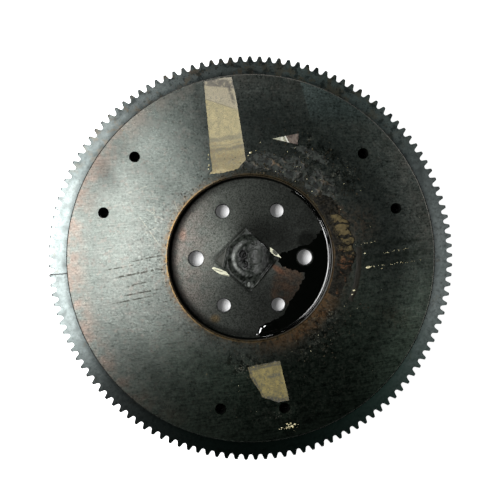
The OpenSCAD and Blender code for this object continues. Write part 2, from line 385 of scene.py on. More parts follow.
def recess_floor(g, clouds, mottle):
    """Recess floor: speckled, brown at the left and beside the sheet, greenish black elsewhere, with
    painted shade.
    """
    floor = g.mix(clouds, (0.064, 0.070, 0.063), (0.085, 0.091, 0.081))
    floor = g.mix(g.step(-20, -62, g.x) * g.step(0.3, 0.6, mottle) * 0.6, floor, (0.112, 0.091, 0.080))
    patch = g.spot((30, -22), (14, 22), 0.3, -25) * g.blots(0.30, 0.66, 9, 4, 0.6)
    floor = g.mix(patch * 0.9, floor, (0.150, 0.100, 0.070))
    for centre, radii, soft, angle, share, rust in FLOOR_STAINS:
        floor = g.mix(g.spot(centre, radii, soft, angle) * share, floor, rust)
    # darker towards the right: partly oil on the floor, partly painted shade on the side away from the
    # light
    wet_and_shaded = g.x - g.y * 0.25 + (g.noise(14, 4) - 0.5) * 40
    floor = g.scale(floor, 1.12 - g.step(-25, 48, wet_and_shaded) * 0.72)
    shade = g.any_of([
        g.spot((14, 15), (38, 27), 0.75, -20),
        g.spot((22, -30), (26, 31), 0.7) * 0.5,
        g.spot((47, 14), (13, 10), 0.6, 15),
    ])
    floor = g.scale(floor, 1 - shade * 0.62)
    # painted shadow of the recess wall: darker next to the wall at the left
    corner = g.step(58, 64.5, g.r) * g.toward(190, 70, 40)
    floor = g.scale(floor, 1 - corner * 0.82)
    # painted shade on the floor along the sheet's upper and lower left edges
    sheet_edge_shade = g.any_of([g.along((-31, -1), end, 2.2, 1.2) for end in ((-3, 26), (0, -28.5))])
    floor = g.scale(floor, 1 - sheet_edge_shade * 0.6)
    speckle = g.noise(1.0, 3, 0.65) - 0.5
    return g.scale(floor, 1 + speckle * 3.4)


def face_tones(g, on_face):
    """Lighter and darker parts of the friction face, painted as light and shade, and the oil and grease
    smeared on it.
    """

    # oil at the lower right, drawn out in streaks; its darkness there is partly painted shade, deepest
    # towards 304 degrees
    oil_and_shade = g.toward(296, 46, 46) * on_face * (0.3 + g.step(70, 98, g.r) * 0.7)
    drawn_oil = g.lines(8, 1.3, 16, 4) * 0.4 + g.noise(2.2, 5, 0.75) * 0.6
    greenish = g.mix(g.step(0.34, 0.66, drawn_oil), (0.004, 0.009, 0.006), (0.064, 0.090, 0.068))
    g.stain(oil_and_shade, g.scale(greenish, 1 - g.toward(304, 30, 18) * 0.45))

    # painted light and shade: paler and darker parts by place; and brown rays out from the recess
    # painted highlight on the rim at the right, and a weaker one at the top
    rim_right_highlight = g.step(118, 146, g.r) * g.any_of([g.toward(358, 36, 22), g.toward(88, 16, 12) * 0.5])
    g.tone(1 + rim_right_highlight * on_face * 2.3)
    # painted shade at the upper left; painted light at the inner left and at the lower right
    upper_left = g.toward(143, 15, 12) * g.step(124, 142, g.r) * -0.30
    inner_left_light = g.toward(177, 28, 20) * g.step(138, 104, g.r) * 0.25
    lower_right = g.toward(333, 15, 12) * g.step(88, 104, g.r) * 0.5
    g.tone(1 + (upper_left + inner_left_light + lower_right) * on_face)
    # painted shade in a band at the upper right
    upper_right_shade = g.band(94, 120, 9, g.r) * g.toward(36, 44, 20) * on_face
    g.tone(1 - upper_right_shade * 0.42)
    rays = g.noise(1, 4, 0.65, g.vector(g.cos * 26, g.sin * 26, g.r * 0.13))
    brown_ring = g.step(86, 69, g.r + (rays - 0.5) * 26) * g.toward(325, 45, 15) * on_face
    brown_ring = brown_ring * g.step(0.36, 0.56, rays)
    g.stain(brown_ring * 0.85, (0.230, 0.135, 0.066))
    g.stain(g.toward(60, 62, 30) * on_face * 0.35, (0.062, 0.082, 0.074))

    # black grease with glints
    greasy = g.any_of([g.spot(*place) for place in GREASY_SPOTS]) * on_face
    g.stain(greasy * g.blots(0.48, 0.58, 5, 5, 0.75) * 0.85, (0.006, 0.007, 0.005))
    glints = greasy * g.step(0.56, 0.64, g.noise(1.5, 4, 0.8) * 0.7 + g.noise(9, 2) * 0.3)
    g.stain(glints * 0.8, (0.34, 0.34, 0.28))

    # painted light: paler at the lower left and towards 122 degrees; and a coarse grain on the right
    painted_lighter = g.toward(242, 28, 14) * g.step(128, 98, g.r) * 0.75 + g.toward(122, 9, 8) * 0.45
    g.tone(1 + painted_lighter * on_face)
    coarse = g.toward(335, 100, 30) * on_face * g.step(150, 134, g.r)
    worn = g.noise(1.5, 3, 0.7) * 0.5 + g.noise(4.0, 4, 0.7) * 0.5
    g.stain(coarse * g.step(0.50, 0.38, worn) * 0.6, (0.004, 0.006, 0.005))
    g.stain(coarse * g.step(0.50, 0.62, worn) * 0.35, (0.115, 0.122, 0.098))
    beside_hole = g.spot((27, -126), (13, 9), 0.7) * on_face
    g.tone(1 + beside_hole * 0.9)


def coated_iron():
    """Turned cast iron under a dark wax film, stained brown at the rim and round the recess."""
    g = Graph("coated_iron")
    on_face = g.step(FACE_Z - 0.9, FACE_Z - 0.4, g.z)
    in_recess = g.step(RECESS_R + 0.6, RECESS_R - 0.2, g.r) * g.step(*RECESS_FOOT, g.z)
    behind = g.step(*reversed(REAR_END), g.z)

    fine = g.noise(0.9, 3, 0.7)
    grain = g.noise(1.7, 4, 0.65)
    mottle = g.noise(7, 5, 0.6)
    clouds = g.noise(38, 3, 0.5)
    marks = g.turning(0.8, 2.5)
    streaks = g.lines(4, 1.1, 26)

    g.colour = g.mix(clouds, (0.064, 0.074, 0.067), (0.110, 0.119, 0.109))
    g.stain(g.step(0.45, 0.7, mottle) * 0.5, (0.118, 0.121, 0.111))
    g.stain(g.blots(0.54, 0.66, 4.2, 4, 0.65) * 0.35, (0.122, 0.100, 0.088))

    # brown tint along the rim, strongest at the left, and round the recess at the right
    rim = g.step(130, 149, g.r) * g.blots(0.35, 0.62, 13, 4, 0.6) * on_face
    rim_left = g.toward(195, 60, 45)
    g.stain(rim * (0.2 + rim_left * 0.5), (0.136, 0.098, 0.080))
    near_recess = g.step(106, 70, g.r) * on_face * g.blots(0.38, 0.62, 8, 5, 0.65)
    right_side = g.toward(8, 65, 35)
    g.stain(near_recess * right_side * 0.75, (0.075, 0.050, 0.030))
    collar = g.step(76, 68.5, g.r) * on_face * g.blots(0.40, 0.58, 3.2, 5, 0.7)
    g.stain(collar * 0.65, (0.105, 0.062, 0.030))
    rusty = g.any_of([g.spot(*place) * share for place, share in RUSTY_SPOTS])
    rusty = rusty * on_face * g.blots(0.40, 0.56, 3.5, 5, 0.7)
    g.stain(rusty * 0.85, (0.210, 0.105, 0.052))

    # the strip beside the long tape is darker, up to a clear line
    beside_tape = g.beyond((46.7, 130), 195, 0.5) * g.beyond((-16, 110), 8, 1.0) * g.step(100, 116, g.y)
    g.tone(1 - beside_tape * 0.18)
    beyond_tape = g.beyond((46.7, 130), 15, 0.5) * g.step(104, 122, g.y) * on_face
    g.stain(beyond_tape * 0.7, (0.135, 0.172, 0.168))

    # wax grain: dark flecks and pale flecks, in streaks on the right
    flecks = g.step(0.52, 0.66, grain) * -0.55 + g.step(0.47, 0.34, grain) * 0.45
    flecks = flecks + (g.noise(4.5, 5, 0.7) - 0.5) * 0.9
    calm = g.toward(155, 38, 22) * g.step(88, 102, g.r) * -0.45
    fleck_share = 1 + g.toward(20, 100, 30) * 0.5 + calm
    g.tone(1 + flecks * on_face * fleck_share)
    drawn = g.lines(-5, 0.9, 16) - 0.5
    g.tone(1 + drawn * g.toward(15, 95, 30) * on_face * 1.5)
    g.tone(1 - g.spot((-117, 69), (12, 24), 0.9, 35) * 0.32)
    broken = g.blots(0.38, 0.55, 3, 3)
    streaks_left = [g.along(start, end, width) for start, end, width in DARK_STREAKS]
    bands_right = [g.along(start, end, width, 2.5) for start, end, width in OILY_BANDS]
    dark = g.any_of(streaks_left + bands_right)
    g.stain(dark * broken * on_face * 0.9, (0.016, 0.015, 0.012))
    pale = g.any_of([g.along(start, end, width, 0.35) for start, end, width in PALE_SCRATCHES])
    g.stain(pale * broken * on_face * 0.55, (0.22, 0.21, 0.17))

    g.stain(in_recess, recess_floor(g, clouds, mottle))

    # wall of the recess: brown, with black oil on it
    wall = g.band(RECESS_R - 0.3, RECESS_R + 0.5, 0.15, g.r) * g.band(WALL_FOOT, FACE_Z - 0.6, 0.6, g.z)
    g.stain(wall, g.mix(g.noise(4, 3), (0.03, 0.026, 0.018), (0.17, 0.14, 0.09)))

    # rusty lip of the recess, and a painted highlight on the edge of the friction face at the right
    lip = g.band(RECESS_R + 0.2, RECESS_R + 2.0, 0.4, g.r) * g.step(FACE_Z - 2.5, FACE_Z - 1.2, g.z)
    lip = lip * g.blots(0.28, 0.55, 5, 4, 0.6)
    g.stain(lip * 0.9, g.mix(g.noise(2.5), (0.12, 0.066, 0.026), (0.27, 0.185, 0.085)))
    # painted highlight on the edge chamfer, on the right side only
    edge = g.band(EDGE_R - 0.9, EDGE_R + 0.5, 0.2, g.r) * g.step(FACE_Z - 2, FACE_Z - 1, g.z)
    g.stain(edge * g.toward(20, 100, 30) * 0.8, (0.33, 0.31, 0.28))

    # rear: bare cast skin, dull
    g.stain(behind, g.mix(mottle, (0.030, 0.032, 0.031), (0.060, 0.060, 0.056)))

    rough = FACE_ROUGH + (mottle - 0.5) * 0.12
    rough = rough + (streaks - 0.5) * g.toward(180, 50, 30) * 0.16
    rough = g.blend(in_recess, rough, 0.33)
    rough = g.blend(wall, rough, 0.30)
    rough = g.blend(behind, rough, 0.6)
    skin = marks * 0.4 + fine * 0.4 + grain * 0.5
    normal = g.bump(skin, 0.05, 0.35)
    g.brush_round_axis(FACE_BRUSH)
    face_tones(g, on_face)
    g.tone(FACE_TONE)
    return g.finish(Metallic=1 - wall, Roughness=rough, Normal=normal)


def gear_steel():
    """Turned steel ring, blue-grey under the film, with wear on the teeth lit up by painted light, and a
    weld seam.
    """
    g = Graph("gear_steel")
    mottle = g.noise(6, 5, 0.62)
    clouds = g.noise(30, 3)
    g.colour = g.mix(clouds, (0.125, 0.150, 0.146), (0.185, 0.205, 0.202))
    g.stain(g.step(0.52, 0.64, mottle) * 0.5, (0.060, 0.068, 0.066))
    g.stain(g.blots(0.55, 0.68, 2.2, 4, 0.7) * 0.5, (0.045, 0.050, 0.048))
    g.stain(g.blots(0.60, 0.70, 11, 5, 0.7) * 0.45, (0.13, 0.115, 0.085))
    # painted shade on the ring next to the step up to the friction face
    g.stain(g.step(156, EDGE_R, g.r) * 0.5, (0.020, 0.024, 0.024))
    g.tone(1 + (g.noise(3.0, 5, 0.7) - 0.5) * 2.2)
    wear = g.toward(95, 45, 25) * g.blots(0.50, 0.60, 8, 4, 0.7)
    g.stain(wear * 0.7, (0.16, 0.125, 0.085))
    seam = g.toward(184, 0.12, 0.1)
    g.stain(seam * 0.9, (0.01, 0.01, 0.01))
    # painted shade at the tooth tips, where the bevels reflect dark
    tips = g.step(TIP_R - 1.6, TIP_R - 0.6, g.r)
    g.stain(tips * 0.6, (0.03, 0.034, 0.034))
    rough = GEAR_ROUGH + (mottle - 0.5) * 0.12
    marks = g.turning(0.5, 2.0)
    skin = marks * 0.5 + g.noise(1.2, 3) * 0.5 - seam
    g.brush_round_axis(GEAR_BRUSH)
    normal = g.bump(skin, 0.05, 0.5)
    # painted shade: dark and greenish at the bottom of the ring
    g.stain(g.toward(288, 38, 26) * 0.86, (0.014, 0.040, 0.030))
    dark = g.toward(80, 48, 20) * g.blots(0.50, 0.58, 6, 5, 0.7)
    g.stain(dark * 0.75, (0.020, 0.026, 0.026))
    # painted light and shade by angle round the ring: much lighter at the top, darker at the bottom, and
    # the highlight shifted at the left
    ends = g.toward(262, 50, 35) * -0.35 + g.toward(97, 17, 14) * 1.9
    ends = ends + g.toward(198, 15, 12) * 0.3 - g.toward(142, 18, 12) * 0.32
    ends = ends + g.toward(166, 9, 8) * 0.32 - g.toward(184, 8, 7) * 0.16
    g.tone((1 + ends) * GEAR_TONE)
    return g.finish(Metallic=1.0, Roughness=rough, Normal=normal)


def plain_steel(name, low, high, roughness):
    """Bare steel of a small part, with fine tool marks."""
    g = Graph(name)
    g.colour = g.mix(g.noise(3, 4), low, high)
    rough = roughness + (g.noise(1.0, 3) - 0.5) * 0.15
    normal = g.bump(g.turning(0.3, 1.5), 0.01, 0.4)
    return g.finish(Metallic=0.95, Roughness=rough, Normal=normal)


def mottled(name, tones, blotch, skin, gloss, **inputs):
    """A plain material in two tones.

    blotch is a noise, skin is a noise with a depth and a strength, and gloss is the least roughness
    with the size and the reach of a noise on top of it.
    """
    g = Graph(name)
    g.colour = g.mix(g.noise(*blotch), *tones)
    normal = g.bump(g.noise(*skin[:2]), *skin[2:])
    least, size, reach = gloss
    return g.finish(Roughness=least + g.noise(size) * reach, Normal=normal, **inputs)


def cage_polymer():
    tones = ((0.16, 0.11, 0.055), (0.24, 0.18, 0.10))
    return mottled("cage_polymer", tones, (1.5, 4), (0.5, 4, 0.02, 0.5), (0.35, 2, 0.2))


def seal_rubber():
    """Black rubber with faint rings."""
    g = Graph("seal_rubber")
    g.colour = g.mix(g.noise(1.2, 5), (0.012, 0.011, 0.010), (0.032, 0.028, 0.025))
    normal = g.bump(g.turning(0.6, 1.0) + g.noise(0.4, 3), 0.02, 0.5)
    return g.finish(Roughness=0.45 + g.noise(2) * 0.2, Normal=normal)


def sheet_film():
    """The dark sheet: oil-soaked and creased, glossy in places, with painted highlights and painted shade.
    """
    g = Graph("sheet_film")
    blotch = g.noise(3.5, 5, 0.7)
    g.colour = g.mix(g.step(0.38, 0.64, blotch), (0.003, 0.004, 0.003), (0.040, 0.045, 0.039))
    pits = g.any_of([g.spot((-6.0, 1.5), (4.4, 7.6), 0.4), g.spot((-3.4, -6.0), (3.2, 3.6), 0.5)])
    g.stain(pits, (0.001, 0.001, 0.001))
    lump = g.spot((3.6, 1.0), (6.2, 6.8), 0.10) * g.step(0.28, 0.45, blotch)
    g.stain(lump * 0.85, (0.047, 0.050, 0.046))
    # painted highlight on the left of the ring that the bearing lifts
    crest_highlight = g.band(12.4, 15.0, 1.4, g.r) * g.toward(176, 46, 34) * g.blots(0.22, 0.74, 4.5, 5, 0.7)
    g.stain(crest_highlight * 0.95, (0.46, 0.48, 0.45))
    corner = g.beyond(CREASE_PLACE, CREASE_ANGLE, 0.3)
    turned_up = g.mix(g.noise(2), (0.02, 0.024, 0.02), (0.13, 0.13, 0.11))
    g.stain(corner * 0.8, turned_up)
    # painted highlight along the upper left edge
    upper_left = g.along((-29, 0), (-5, 23.5), 1.0, 0.8)
    g.stain(upper_left * 0.5, (0.09, 0.095, 0.085))
    lower_right = g.along((2, -25.5), (21, -3), 1.2, 0.6)
    g.stain(lower_right * g.blots(0.35, 0.5, 3, 3) * 0.7, (0.11, 0.115, 0.105))
    bump_light = g.spot((-1.6, -22), (1.4, 2.8), 0.6)
    g.stain(bump_light * 0.7, (0.24, 0.25, 0.23))
    # painted shade: darker towards the right
    g.tone(1 - g.step(7, 14, g.x) * 0.6)
    rough = 0.30 + g.noise(3, 4) * 0.25
    normal = g.bump(g.noise(0.9, 4, 0.7) + g.lines(45, 0.5, 6) * 0.6, 0.06, 0.4)
    return g.finish(Roughness=rough, Specular_IOR_Level=0.16, Normal=normal)


def tape_grain(g, dirt, amount):
    """Creped paper with dirt in its grain; gives the bump."""
    crepe = g.lines(10, 0.6, 3)
    fibre = g.noise(0.9, 3, 0.7)
    g.tone(1 + (fibre - 0.5) * 1.5)
    g.stain(g.blots(0.5, 0.66, 2.4, 5, 0.7) * amount, dirt)
    speck = g.blots(0.63, 0.70, 1.3, 2)
    g.stain(speck * amount, dirt)
    return g.bump(crepe + fibre * 0.6, 0.06, 0.6)


def long_tape_paper():
    """Tan tape: stained and dirty at the rim, banded grey towards its torn inner end."""
    g = Graph("long_tape_paper")
    g.colour = g.mix(g.blots(0.35, 0.65, 5, 5, 0.65), (0.45, 0.375, 0.185), (0.33, 0.285, 0.145))
    pinkish = g.beyond((-24.5, 127.2), 71, 0.5)
    g.stain(pinkish * 0.75, (0.36, 0.315, 0.225))
    crease = g.along((-36.5, 131.3), (-12.6, 123), 0.5, 0.4)
    g.stain(crease * 0.6, (0.14, 0.12, 0.08))
    wavy = g.y + (g.noise(7, 3) - 0.5) * 5
    slanted = wavy - g.x * 0.12
    grey = (0.125, 0.122, 0.088)
    for middle, half, share in ((100.5, 2.0, 0.55), (92.0, 1.3, 0.9), (95.5, 0.5, 0.6), (83.5, 1.6, 0.7)):
        g.stain(g.band(middle - half, middle + half, 1.0, slanted) * share, grey)
    g.stain(g.step(99, 82, g.y) * 0.75, (0.225, 0.178, 0.072))
    g.stain(g.step(74.5, 71.5, wavy) * 0.7, (0.50, 0.41, 0.20))
    at_rim = g.beyond((-24, 140.6), 84, 0.7) * g.blots(0.30, 0.48, 4, 4)
    dirt = g.mix(g.noise(2.5, 4), (0.036, 0.032, 0.028), (0.125, 0.107, 0.085))
    g.stain(at_rim * 0.88, dirt)
    dark_corner = g.along((-15.5, 141), (-11.4, 127), 1.8, 1.2)
    g.stain(dark_corner * g.blots(0.32, 0.50, 2.5, 4) * 0.8, (0.050, 0.045, 0.036))
    rim_line = g.beyond((-24, 147.0), 84, 0.25)
    g.stain(rim_line * 0.8, (0.36, 0.32, 0.235))
    brown = g.step(104, 88, g.y) * g.blots(0.50, 0.62, 3.2, 5, 0.7)
    g.stain(brown * 0.55, (0.260, 0.165, 0.060))
    normal = tape_grain(g, (0.15, 0.14, 0.10), 0.55)
    return g.finish(Roughness=0.45 + g.noise(4) * 0.25, Normal=normal)


def short_tape_paper():
    """Browner tape, dirty along its torn upper edge and soaked dark at its lower corner."""
    g = Graph("short_tape_paper")
    g.colour = g.mix(g.blots(0.35, 0.65, 4, 5, 0.65), (0.240, 0.184, 0.040), (0.125, 0.100, 0.026))
    wavy = g.y + (g.noise(5, 3) - 0.5) * 2.5
    slanted = wavy - g.x * 0.19
    top_band = g.band(-92.2, -90.4, 0.5, slanted)
    g.stain(top_band * 0.8, (0.055, 0.048, 0.024))
    g.stain(g.step(-90.2, -88.6, slanted) * 0.7, (0.125, 0.105, 0.050))
    smudge = g.spot((18, -96.5), (8, 2.6), 0.7, 12) * g.blots(0.38, 0.52, 1.8, 4)
    g.stain(smudge * 0.75, (0.050, 0.052, 0.034))
    low = g.step(-110, -117, wavy) * g.blots(0.38, 0.55, 2.5, 4)
    g.stain(low * 0.85, (0.030, 0.030, 0.018))
    borders = g.any_of([
        g.step(-91.2, -89.4, slanted),
        g.along((-2.5, -92), (9, -115), 2.0, 1.2),
        g.along((6, -114.5), (32, -118.5), 3.0, 1.5),
    ])
    ragged = borders * g.blots(0.44, 0.52, 1.3, 4, 0.75)
    g.stain(ragged * 0.92, (0.014, 0.014, 0.010))
    normal = tape_grain(g, (0.045, 0.045, 0.022), 0.75)
    return g.finish(Roughness=0.45 + g.noise(4) * 0.25, Normal=normal)


def cream_paper():
    g = Graph("cream_paper")
    g.colour = g.mix(g.noise(2.5, 4), (0.85, 0.83, 0.60), (1.0, 0.99, 0.78))
    shadow = g.blots(0.52, 0.62, 1.8, 4, 0.7)
    g.stain(shadow * 0.3, (0.18, 0.17, 0.10))
    # painted shadow lines along two folds of the left end
    fold = g.any_of([
        g.along((-29.5, -9.2), (-23, -11.4), 0.5, 0.5),
        g.along((-24.5, -13.6), (-18, -14.6), 0.5, 0.6),
    ])
    g.stain(fold * 0.8, (0.055, 0.05, 0.03))
    # painted shade in the hollow of the right end
    hollow_shade = g.spot((20.6, 4.2), (3.3, 1.9), 0.3, -47)
    g.stain(hollow_shade * 0.95, (0.025, 0.028, 0.02))
    normal = g.bump(g.noise(0.6, 4), 0.05, 0.6)
    return g.finish(Roughness=0.4 + g.noise(1.5) * 0.2, Normal=normal)


def scrap_paper():
    g = Graph("scrap_paper")
    inner = g.blots(0.4, 0.55, 2.2, 4)
    g.colour = g.mix(inner, (0.060, 0.040, 0.033), (0.145, 0.112, 0.090))
    pale = g.beyond((30, 98), 190, 1.2)
    g.stain(pale * g.blots(0.3, 0.5, 2.5) * 0.9, (0.47, 0.47, 0.35))
    # painted highlight along the fold
    g.stain(g.along((29, 101), (33.5, 92), 0.8, 0.6) * 0.9, (0.85, 0.84, 0.74))
    normal = g.bump(g.noise(0.8, 4), 0.08, 0.7)
    return g.finish(Roughness=0.32, Specular_IOR_Level=0.25, Normal=normal)


def dried_wax():
    """Cakes of dried wax and grease: tan on top, rusty lower down, black in the cracks."""
    g = Graph("dried_wax")
    tan = g.mix(g.noise(2.5, 5, 0.7), (0.018, 0.015, 0.008), (0.220, 0.168, 0.080))
    rusty = g.mix(g.noise(2, 5, 0.7), (0.012, 0.008, 0.005), (0.225, 0.105, 0.052))
    lower = g.step(14, -12, g.y) + (g.noise(8, 4) - 0.5) * 2.2
    tan = g.mix(g.step(0.25, 0.7, lower), tan, rusty)
    kept = g.noise(2.4, 6, 0.85) + g.step(-14, 26, g.y) * 0.08
    kept = kept + (g.noise(9, 3, 0.6) - 0.5) * 0.5
    kept = kept - g.step(78, 71, g.r) * 0.16
    kept = g.step(0.45, 0.60, kept - g.step(30, 50, g.y) * 0.30)
    high = g.step(FACE_Z + 0.14, FACE_Z + 0.34, g.z) * kept
    bottom = g.mix(g.blots(0.4, 0.65, 1.5, 4), (0.002, 0.002, 0.001), (0.022, 0.019, 0.013))
    g.colour = g.mix(high, bottom, tan)
    normal = g.bump(g.noise(0.8, 5, 0.7), 0.12, 0.8)
    rough = g.blend(high, 0.6, 0.75)
    return g.finish(Roughness=rough, Specular_IOR_Level=0.08, Normal=normal)


def crumpled_film():
    """Crumpled film of half-dry wax: black in the folds, with pale crests that are painted highlights."""
    g = Graph("crumpled_film")
    g.colour = g.mix(g.blots(0.42, 0.60, 4, 5, 0.7), (0.004, 0.005, 0.004), (0.036, 0.042, 0.036))
    share = 0.55 + g.step(46, 8, g.x) * 0.45
    fold = g.step(FACE_Z + 0.14, FACE_Z + 0.40, g.z) * g.blots(0.42, 0.58, 3.5, 5, 0.75) * share
    brown = g.mix(g.blots(0.42, 0.62, 8, 3), (0.078, 0.080, 0.068), (0.130, 0.088, 0.052))
    g.stain(fold, brown)
    # painted highlights on the crests
    crest_highlight = g.step(FACE_Z + 0.52, FACE_Z + 0.74, g.z) * g.blots(0.50, 0.60, 2.5, 4, 0.7) * share
    g.stain(crest_highlight * 0.8, (0.26, 0.25, 0.20))
    normal = g.bump(g.noise(0.9, 4, 0.7), 0.1, 0.5)
    rough = 0.32 + g.noise(2) * 0.3
    return g.finish(Roughness=rough, Specular_IOR_Level=0.12, Normal=normal)


def brown_crumb():
    g = Graph("brown_crumb")
    g.colour = g.mix(g.noise(2, 3), (0.003, 0.003, 0.002), (0.045, 0.038, 0.024))
    g.stain(g.blots(0.60, 0.68, 1.5, 2), (0.16, 0.125, 0.065))
    normal = g.bump(g.noise(0.5, 3), 0.05, 0.6)
    rough = 0.35 + g.noise(1) * 0.3
    return g.finish(Roughness=rough, Specular_IOR_Level=0.15, Normal=normal)


def strap_wax():
    tones = ((0.003, 0.003, 0.002), (0.030, 0.027, 0.020))
    return mottled("strap_wax", tones, (3, 3), (1.2, 4, 0.1, 0.6), (0.45, 3, 0.2), Specular_IOR_Level=0.1)


def gold_flake():
    g = Graph("gold_flake")
    g.colour = g.mix(g.blots(0.35, 0.6, 1.3, 3), (0.22, 0.175, 0.07), (1.0, 0.92, 0.60))
    normal = g.bump(g.noise(0.5, 3), 0.05, 0.6)
    return g.finish(Roughness=0.18 + g.noise(1) * 0.15, Normal=normal)


def black_oil():
    tones = ((0.0002, 0.0002, 0.0002), (0.0008, 0.0007, 0.0005))
    return mottled("black_oil", tones, (14, 3), (9, 2, 0.02, 0.2), (0.05, 5, 0.05), Specular_IOR_Level=0.9)


# ------------------------------------------------------------------ mesh helpers


def wobble(x, y, size, seed=0.0):
    """Smooth noise from about -1 to 1, with hills about size millimetres apart."""
    return noise.fractal(Vector((x / size, y / size, seed * 7.31)), 0.9, 2.0, 4)


def smooth(low, high, value):
    """0 at low and 1 at high, smooth between; low may be above high."""
    t = min(1.0, max(0.0, (value - low) / (high - low)))
    return t * t * (3 - 2 * t)


def ridge(value, centre, width):
    """1 at the centre, falling off like a bell on both sides."""
    return math.exp(-((value - centre) / width) ** 2)


def torn_outline(corners, spacing, seed):
    """Walks round corners (x, y, roughness) and moves the points of rough edges sideways."""
    outline = []
    count = len(corners)
    for i in range(count):
        x0, y0, roughness = corners[i]
        x1, y1, _ = corners[(i + 1) % count]
        length = math.hypot(x1 - x0, y1 - y0)
        pieces = max(1, round(length / spacing))
        side_x, side_y = (y1 - y0) / length, (x0 - x1) / length
        for k in range(pieces):
            t = k / pieces
            x, y = x0 + (x1 - x0) * t, y0 + (y1 - y0) * t
            push = roughness * wobble(x, y, 2.2, seed) * min(1, 4 * t, 4 * (1 - t) + 0.2)
            outline.append((x + side_x * push, y + side_y * push))
    return outline


def inside(point, outline):
    """Whether a point lies inside a closed outline."""
    x, y = point
    odd = False
    for (x0, y0), (x1, y1) in zip(outline, outline[1:] + outline[:1]):
        if (y0 > y) != (y1 > y) and x < (x1 - x0) * (y - y0) / (y1 - y0) + x0:
            odd = not odd
    return odd


def edge_distance(point, outline):
    """Distance from a point to the nearest edge of a closed outline."""
    best = math.inf
    px, py = point
    for (x0, y0), (x1, y1) in zip(outline, outline[1:] + outline[:1]):
        dx, dy = x1 - x0, y1 - y0
        t = ((px - x0) * dx + (py - y0) * dy) / max(dx * dx + dy * dy, 1e-9)
        t = min(1, max(0, t))
        best = min(best, math.hypot(px - x0 - t * dx, py - y0 - t * dy))
    return best


def mesh_object(name, verts, faces, material, flat=()):
    """A piece from points in millimetres. The faces numbered in flat stay flat, with sharp edges."""
    mesh = bpy.data.meshes.new(name)
    mesh.from_pydata([tuple(c * MM for c in v) for v in verts], [], faces)
    mesh.validate()
    mesh.materials.append(material)
    creased = set()
    for polygon in mesh.polygons:
        polygon.use_smooth = polygon.index not in flat
        if polygon.index in flat:
            creased.update(polygon.edge_keys)
    for edge in mesh.edges:
        edge.use_edge_sharp = edge.key in creased
    mesh.update()
    piece = bpy.data.objects.new(name, mesh)
    bpy.context.scene.collection.objects.link(piece)
    return piece


# least thickness of a thin piece, and its grid in shares of the spacing
THINNEST = 0.02
GRID_SHAKE = 0.15
GRID_MARGIN = 0.45
ROW_STEP = 0.866


def grid_points(outline, holes, spacing):
    """Points of a slightly shaken triangle grid inside an outline, clear of all edges."""
    points = []
    margin, shake = GRID_MARGIN * spacing, GRID_SHAKE * spacing
    xs, ys = [p[0] for p in outline], [p[1] for p in outline]
    row = 0
    y = min(ys)
    while y < max(ys):
        x = min(xs) + (spacing / 2 if row % 2 else 0)
        while x < max(xs):
            p = (x + shake * wobble(x, y, 3, 5), y + shake * wobble(y, x, 3, 6))
            clear = inside(p, outline) and edge_distance(p, outline) > margin
            if clear and all(not inside(p, h) and edge_distance(p, h) > margin for h in holes):
                points.append(p)
            x += spacing
        y += spacing * ROW_STEP
        row += 1
    return points


def thin_piece(name, outline, spacing, top, bottom, material, holes=()):
    """A closed thin solid over an outline. top and bottom give heights from (x, y, edge distance)."""
    loops = [outline, *holes]
    points = [p for loop in loops for p in loop]
    edges = []
    start = 0
    for loop in loops:
        edges += [(start + i, start + (i + 1) % len(loop)) for i in range(len(loop))]
        start += len(loop)
    points += grid_points(outline, holes, spacing)
    flat, _, triangles, *_ = geometry.delaunay_2d_cdt([Vector(p) for p in points], edges, [], 1, 1e-5)
    flat = [(v.x, v.y) for v in flat]
    faces = []
    for a, b, c in triangles:
        middle = tuple(sum(flat[i][k] for i in (a, b, c)) / 3 for k in (0, 1))
        if any(inside(middle, h) for h in holes):
            continue
        (ax, ay), (bx, by), (cx, cy) = flat[a], flat[b], flat[c]
        turn = (bx - ax) * (cy - ay) - (by - ay) * (cx - ax)
        faces.append((a, b, c) if turn > 0 else (a, c, b))
    distances = [min(edge_distance(p, loop) for loop in loops) for p in flat]
    count = len(flat)
    upper = [(x, y, top(x, y, d)) for (x, y), d in zip(flat, distances)]
    lower = [(x, y, min(bottom(x, y, d), z - THINNEST)) for (x, y, z), d in zip(upper, distances)]
    directed = {(f[i], f[(i + 1) % 3]) for f in faces for i in range(3)}
    rim = [(a, b) for a, b in directed if (b, a) not in directed]
    all_faces = faces + [(c + count, b + count, a + count) for a, b, c in faces]
    side_start = len(all_faces)
    all_faces += [(b, a, a + count, b + count) for a, b in sorted(rim)]
    return mesh_object(name, upper + lower, all_faces, material, set(range(side_start, len(all_faces))))


def crumb_cloud(name, places, material, seed):
    """Small angular crumbs resting on a surface: places are (x, y, z, length, width, height, turn)."""
    rng = random.Random(seed)
    verts, faces = [], []
    for x, y, z, length, width, height, turn in places:
        sides = rng.choice((5, 6, 7))
        c, s = math.cos(turn), math.sin(turn)
        start = len(verts)
        for level, share in ((0.0, 1.0), (0.55, 0.9), (1.0, 0.45)):
            for k in range(sides):
                a = 2 * math.pi * k / sides + rng.uniform(-0.25, 0.25)
                reach = share * rng.uniform(0.75, 1.1) / 2
                u, v = math.cos(a) * length * reach, math.sin(a) * width * reach
                lift = z + height * level * rng.uniform(0.85, 1.1)
                verts.append((x + u * c - v * s, y + u * s + v * c, lift))
        for level in (0, 1):
            for k in range(sides):
                a, b = start + level * sides + k, start + level * sides + (k + 1) % sides
                faces.append((a, b, b + sides, a + sides))
        faces.append(tuple(start + k for k in reversed(range(sides))))
        faces.append(tuple(start + 2 * sides + k for k in range(sides)))
    return mesh_object(name, verts, faces, material, set(range(len(faces))))


# ------------------------------------------------------------------ the sheet over the bearing

